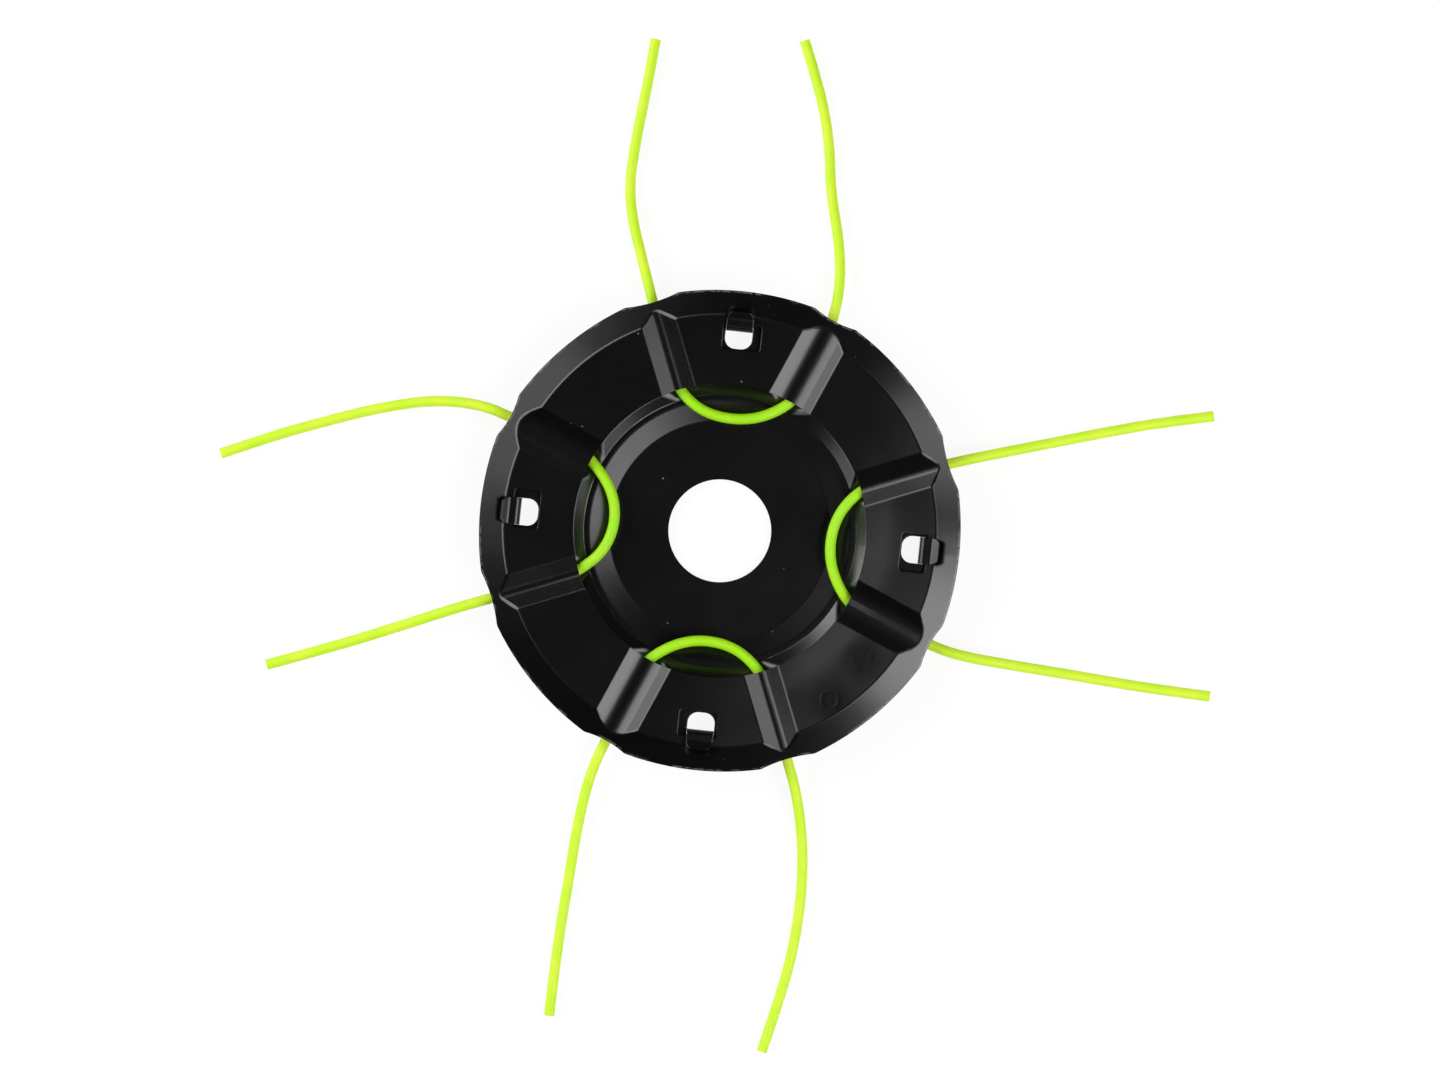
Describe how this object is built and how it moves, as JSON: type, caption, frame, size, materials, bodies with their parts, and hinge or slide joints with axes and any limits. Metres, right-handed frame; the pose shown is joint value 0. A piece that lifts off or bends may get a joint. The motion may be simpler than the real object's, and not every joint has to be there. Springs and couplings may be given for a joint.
{
  "type": "trimmer head",
  "caption": "Flat round trimmer head: two pressed steel plates clamped together with folded tabs, radial channels between them, and looped nylon cutting lines with loose tails.",
  "frame": {"origin": "on the arbor axis, in the plane that the rim of the base plate stands on", "axes": "+Z along the arbor axis from the base plate towards the cover plate; +X through the middle of one slot and its tab"},
  "size_m": [0.2498, 0.2502, 0.0103],
  "materials": {
    "plate_paint": "satin black paint on pressed steel",
    "nylon_line": "translucent fluorescent yellow-green nylon"
  },
  "bodies": {
    "root": {"cover_plate": "plate_paint", "base_plate": "plate_paint", "line_right": "nylon_line", "line_top": "nylon_line", "line_left": "nylon_line", "line_bottom": "nylon_line"}
  },
  "joints": []
}
